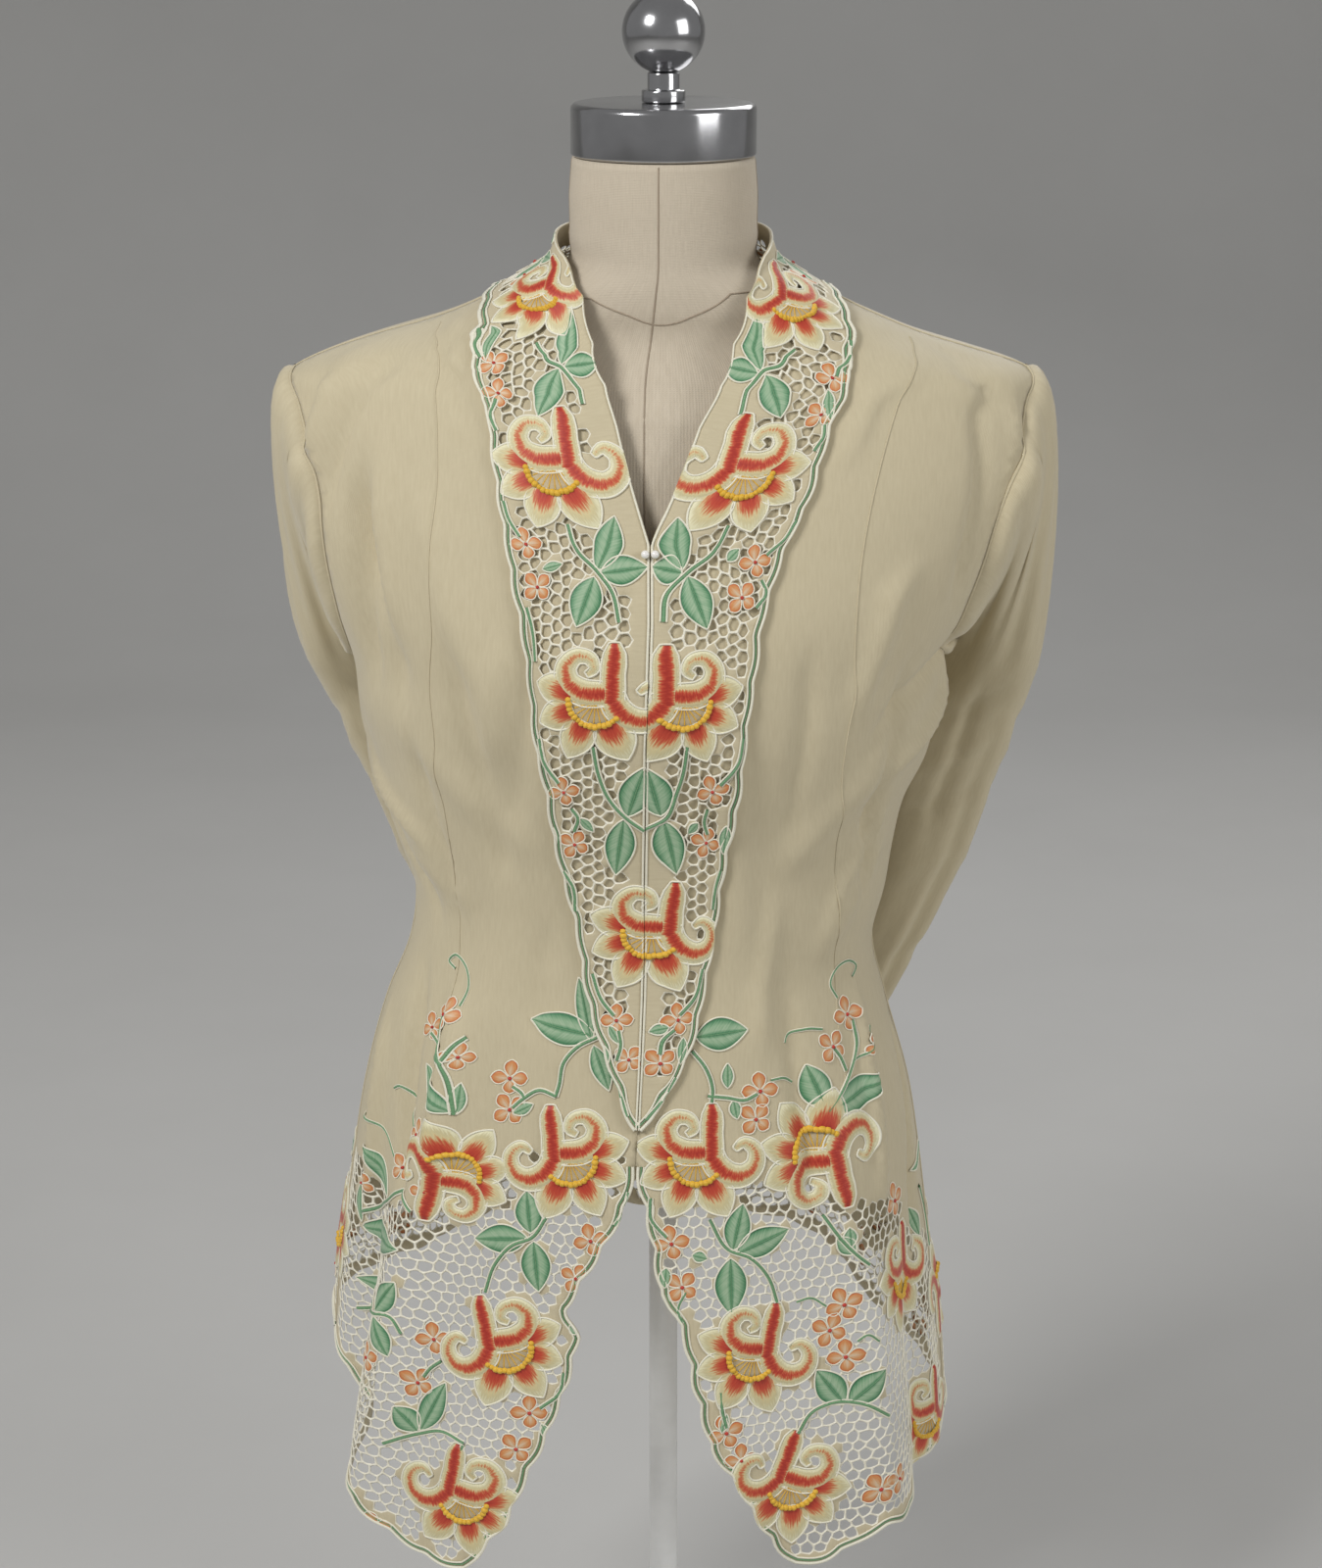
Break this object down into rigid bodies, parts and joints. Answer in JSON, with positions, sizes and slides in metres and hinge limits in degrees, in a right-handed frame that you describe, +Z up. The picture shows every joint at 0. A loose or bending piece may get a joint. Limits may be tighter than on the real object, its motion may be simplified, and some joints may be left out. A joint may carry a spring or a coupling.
{
  "type": "kebaya blouse on a limbless dress form",
  "caption": "Long-sleeved open-front kebaya blouse with embroidered cutwork lapels and pointed hem fronts, worn on a limbless dress form that stands on a round base.",
  "frame": {"origin": "centre of the stand base's flat underside", "axes": "+Z up; the blouse's front faces -Y; +X is to the right of a person who looks at the front"},
  "size_m": [0.4683, 0.3539, 1.139],
  "materials": {
    "voile": "fine sheer cotton voile, beige, with colour embroidery at its border",
    "cutwork": "embroidered cutwork with cream bars and colour flowers",
    "pearl": "pearly",
    "linen": "coarse natural linen cover",
    "chrome": "polished",
    "lacquer": "satin white lacquer"
  },
  "bodies": {
    "root": {"front_centre_left": "voile", "front_centre_right": "voile", "front_side_left": "voile", "front_side_right": "voile", "back": "voile", "sleeve_left": "voile", "sleeve_right": "voile", "lapel_left": "cutwork", "lapel_right": "cutwork", "pearl_left": "pearl", "pearl_right": "pearl", "form_body": "linen", "neck_cap": "chrome", "finial_collar": "chrome", "finial_ball": "chrome", "stand_pole": "lacquer", "stand_base": "lacquer"}
  },
  "joints": []
}
